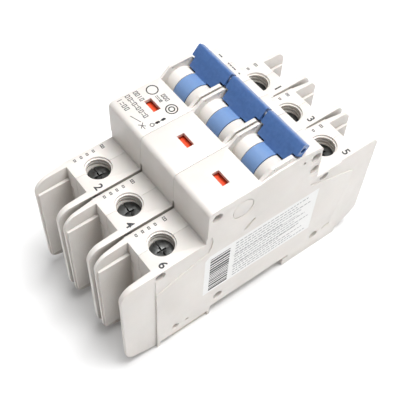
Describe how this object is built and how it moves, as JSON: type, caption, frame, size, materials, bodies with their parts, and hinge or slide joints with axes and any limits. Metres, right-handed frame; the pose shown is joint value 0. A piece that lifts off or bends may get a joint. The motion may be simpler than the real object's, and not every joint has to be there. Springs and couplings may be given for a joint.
{
  "type": "circuit breaker",
  "caption": "DIN-rail miniature circuit breaker with tied blue handles, screw lift-clamp terminals and phase barriers at both ends.",
  "frame": {"origin": "middle of the rail slot at the back plane, on the middle pole", "axes": "+X from pole 1 to pole 3, +Y towards the line terminals, +Z out of the front"},
  "size_m": [0.053, 0.1053, 0.0723],
  "materials": {
    "housing": "fine moulded texture",
    "handle": "smooth satin",
    "flag": "satin",
    "clip_plastic": "satin",
    "screw_steel": "dark zinc",
    "zinc_steel": "zinc plated",
    "copper": "bare copper",
    "bimetal": "rolled",
    "inner_plastic": "moulded",
    "fibre": "pressed fibre",
    "label": "printed sticker"
  },
  "bodies": {
    "housing": {"case_left_1": "housing", "case_left_2": "housing", "case_left_3": "housing", "case_right_1": "housing", "case_right_2": "housing", "case_right_3": "housing", "case_rivets": "zinc_steel", "toggle_springs": "zinc_steel", "arm_springs": "zinc_steel", "pivot_pins": "zinc_steel", "coil_windings": "copper", "coil_bobbins": "inner_plastic", "magnet_yokes": "zinc_steel", "magnet_cores": "zinc_steel", "fixed_contacts": "copper", "terminal_bars": "copper", "bimetals": "bimetal", "calibration_screws": "bimetal", "arc_splitter_plates": "zinc_steel", "arc_chute_frames": "fibre", "arc_runners": "zinc_steel", "braid_1": "copper", "braid_2": "copper", "braid_3": "copper", "side_label": "label"},
    "handle": {"toggle_1": "handle", "toggle_2": "handle", "toggle_3": "handle", "toggle_tie_pin": "zinc_steel"},
    "trip_unit": {"trip_lever_1": "inner_plastic", "trip_lever_2": "inner_plastic", "trip_lever_3": "inner_plastic", "trip_bar": "zinc_steel"},
    "toggle_link_body_1": {"toggle_link_1": "zinc_steel"},
    "contact_arm_body_1": {"contact_arm_1": "copper"},
    "indicator_flag_body_1": {"indicator_flag_1": "flag"},
    "rail_clip_body_1": {"rail_clip_1": "clip_plastic"},
    "line_screw_body_1": {"line_screw_1": "screw_steel"},
    "load_screw_body_1": {"load_screw_1": "screw_steel"},
    "line_clamp_body_1": {"line_clamp_1": "zinc_steel"},
    "load_clamp_body_1": {"load_clamp_1": "zinc_steel"},
    "plunger_body_1": {"plunger_1": "zinc_steel"},
    "toggle_link_body_2": {"toggle_link_2": "zinc_steel"},
    "contact_arm_body_2": {"contact_arm_2": "copper"},
    "indicator_flag_body_2": {"indicator_flag_2": "flag"},
    "rail_clip_body_2": {"rail_clip_2": "clip_plastic"},
    "line_screw_body_2": {"line_screw_2": "screw_steel"},
    "load_screw_body_2": {"load_screw_2": "screw_steel"},
    "line_clamp_body_2": {"line_clamp_2": "zinc_steel"},
    "load_clamp_body_2": {"load_clamp_2": "zinc_steel"},
    "plunger_body_2": {"plunger_2": "zinc_steel"},
    "toggle_link_body_3": {"toggle_link_3": "zinc_steel"},
    "contact_arm_body_3": {"contact_arm_3": "copper"},
    "indicator_flag_body_3": {"indicator_flag_3": "flag"},
    "rail_clip_body_3": {"rail_clip_3": "clip_plastic"},
    "line_screw_body_3": {"line_screw_3": "screw_steel"},
    "load_screw_body_3": {"load_screw_3": "screw_steel"},
    "line_clamp_body_3": {"line_clamp_3": "zinc_steel"},
    "load_clamp_body_3": {"load_clamp_3": "zinc_steel"},
    "plunger_body_3": {"plunger_3": "zinc_steel"}
  },
  "joints": [
    {"name": "handle_turn", "type": "hinge", "parent": "housing", "child": "handle", "pos_m": [0, 0.0045, 0.061], "axis": [1, 0, 0], "range_deg": [0, 68]},
    {"name": "common_trip", "type": "hinge", "parent": "housing", "child": "trip_unit", "pos_m": [0, 0.001, 0.051], "axis": [-1, 0, 0], "range_deg": [0, 6], "stiffness_Nm_per_rad": 0.02, "springref_deg": -5.73},
    {"name": "contact_arm_1_turn", "type": "hinge", "parent": "housing", "child": "contact_arm_body_1", "pos_m": [-0.0177, -0.001, 0.043], "axis": [-1, 0, 0], "range_deg": [0, 21.57], "deforming": ["braid_1"]},
    {"name": "toggle_link_1_turn", "type": "hinge", "parent": "handle", "child": "toggle_link_body_1", "pos_m": [-0.0177, 0.00471, 0.05881], "axis": [-1, 0, 0], "range_deg": [0, 69.24]},
    {"name": "indicator_flag_1_turn", "type": "hinge", "parent": "housing", "child": "indicator_flag_body_1", "pos_m": [-0.0177, -0.0116, 0.0532], "axis": [-1, 0, 0], "range_deg": [0, 14.1]},
    {"name": "rail_clip_1_slide", "type": "slide", "parent": "housing", "child": "rail_clip_body_1", "axis": [0, -1, 0], "range_m": [0, 0.0045], "stiffness_N_per_m": 400},
    {"name": "plunger_1_slide", "type": "slide", "parent": "housing", "child": "plunger_body_1", "axis": [0, -1, 0], "range_m": [0, 0.0015], "stiffness_N_per_m": 100},
    {"name": "line_clamp_1_lift", "type": "slide", "parent": "housing", "child": "line_clamp_body_1", "axis": [0, 0, 1], "range_m": [0, 0.008]},
    {"name": "line_screw_1_turn", "type": "hinge", "parent": "housing", "child": "line_screw_body_1", "pos_m": [-0.0177, 0.0333, 0.044], "axis": [0, 0, -1], "range_deg": [0, 3610]},
    {"name": "load_clamp_1_lift", "type": "slide", "parent": "housing", "child": "load_clamp_body_1", "axis": [0, 0, 1], "range_m": [0, 0.008]},
    {"name": "load_screw_1_turn", "type": "hinge", "parent": "housing", "child": "load_screw_body_1", "pos_m": [-0.0177, -0.0333, 0.044], "axis": [0, 0, -1], "range_deg": [0, 3610]},
    {"name": "contact_arm_2_turn", "type": "hinge", "parent": "housing", "child": "contact_arm_body_2", "pos_m": [0, -0.001, 0.043], "axis": [-1, 0, 0], "range_deg": [0, 21.57], "deforming": ["braid_2"]},
    {"name": "toggle_link_2_turn", "type": "hinge", "parent": "handle", "child": "toggle_link_body_2", "pos_m": [0, 0.00471, 0.05881], "axis": [-1, 0, 0], "range_deg": [0, 69.24]},
    {"name": "indicator_flag_2_turn", "type": "hinge", "parent": "housing", "child": "indicator_flag_body_2", "pos_m": [0, -0.0116, 0.0532], "axis": [-1, 0, 0], "range_deg": [0, 14.1]},
    {"name": "rail_clip_2_slide", "type": "slide", "parent": "housing", "child": "rail_clip_body_2", "axis": [0, -1, 0], "range_m": [0, 0.0045], "stiffness_N_per_m": 400},
    {"name": "plunger_2_slide", "type": "slide", "parent": "housing", "child": "plunger_body_2", "axis": [0, -1, 0], "range_m": [0, 0.0015], "stiffness_N_per_m": 100},
    {"name": "line_clamp_2_lift", "type": "slide", "parent": "housing", "child": "line_clamp_body_2", "axis": [0, 0, 1], "range_m": [0, 0.008]},
    {"name": "line_screw_2_turn", "type": "hinge", "parent": "housing", "child": "line_screw_body_2", "pos_m": [0, 0.0333, 0.044], "axis": [0, 0, -1], "range_deg": [0, 3610]},
    {"name": "load_clamp_2_lift", "type": "slide", "parent": "housing", "child": "load_clamp_body_2", "axis": [0, 0, 1], "range_m": [0, 0.008]},
    {"name": "load_screw_2_turn", "type": "hinge", "parent": "housing", "child": "load_screw_body_2", "pos_m": [0, -0.0333, 0.044], "axis": [0, 0, -1], "range_deg": [0, 3610]},
    {"name": "contact_arm_3_turn", "type": "hinge", "parent": "housing", "child": "contact_arm_body_3", "pos_m": [0.0177, -0.001, 0.043], "axis": [-1, 0, 0], "range_deg": [0, 21.57], "deforming": ["braid_3"]},
    {"name": "toggle_link_3_turn", "type": "hinge", "parent": "handle", "child": "toggle_link_body_3", "pos_m": [0.0177, 0.00471, 0.05881], "axis": [-1, 0, 0], "range_deg": [0, 69.24]},
    {"name": "indicator_flag_3_turn", "type": "hinge", "parent": "housing", "child": "indicator_flag_body_3", "pos_m": [0.0177, -0.0116, 0.0532], "axis": [-1, 0, 0], "range_deg": [0, 14.1]},
    {"name": "rail_clip_3_slide", "type": "slide", "parent": "housing", "child": "rail_clip_body_3", "axis": [0, -1, 0], "range_m": [0, 0.0045], "stiffness_N_per_m": 400},
    {"name": "plunger_3_slide", "type": "slide", "parent": "housing", "child": "plunger_body_3", "axis": [0, -1, 0], "range_m": [0, 0.0015], "stiffness_N_per_m": 100},
    {"name": "line_clamp_3_lift", "type": "slide", "parent": "housing", "child": "line_clamp_body_3", "axis": [0, 0, 1], "range_m": [0, 0.008]},
    {"name": "line_screw_3_turn", "type": "hinge", "parent": "housing", "child": "line_screw_body_3", "pos_m": [0.0177, 0.0333, 0.044], "axis": [0, 0, -1], "range_deg": [0, 3610]},
    {"name": "load_clamp_3_lift", "type": "slide", "parent": "housing", "child": "load_clamp_body_3", "axis": [0, 0, 1], "range_m": [0, 0.008]},
    {"name": "load_screw_3_turn", "type": "hinge", "parent": "housing", "child": "load_screw_body_3", "pos_m": [0.0177, -0.0333, 0.044], "axis": [0, 0, -1], "range_deg": [0, 3610]}
  ],
  "couplings": [
    {"joint": "contact_arm_1_turn", "follows": "handle_turn", "ratio": 0.31647},
    {"joint": "toggle_link_1_turn", "follows": "handle_turn", "ratio": 1.0167},
    {"joint": "indicator_flag_1_turn", "follows": "handle_turn", "ratio": 0.20588},
    {"joint": "line_screw_1_turn", "follows": "line_clamp_1_lift", "rad_per_m": 7854},
    {"joint": "load_screw_1_turn", "follows": "load_clamp_1_lift", "rad_per_m": 7854},
    {"joint": "contact_arm_2_turn", "follows": "handle_turn", "ratio": 0.31647},
    {"joint": "toggle_link_2_turn", "follows": "handle_turn", "ratio": 1.0167},
    {"joint": "indicator_flag_2_turn", "follows": "handle_turn", "ratio": 0.20588},
    {"joint": "line_screw_2_turn", "follows": "line_clamp_2_lift", "rad_per_m": 7854},
    {"joint": "load_screw_2_turn", "follows": "load_clamp_2_lift", "rad_per_m": 7854},
    {"joint": "contact_arm_3_turn", "follows": "handle_turn", "ratio": 0.31647},
    {"joint": "toggle_link_3_turn", "follows": "handle_turn", "ratio": 1.0167},
    {"joint": "indicator_flag_3_turn", "follows": "handle_turn", "ratio": 0.20588},
    {"joint": "line_screw_3_turn", "follows": "line_clamp_3_lift", "rad_per_m": 7854},
    {"joint": "load_screw_3_turn", "follows": "load_clamp_3_lift", "rad_per_m": 7854}
  ]
}
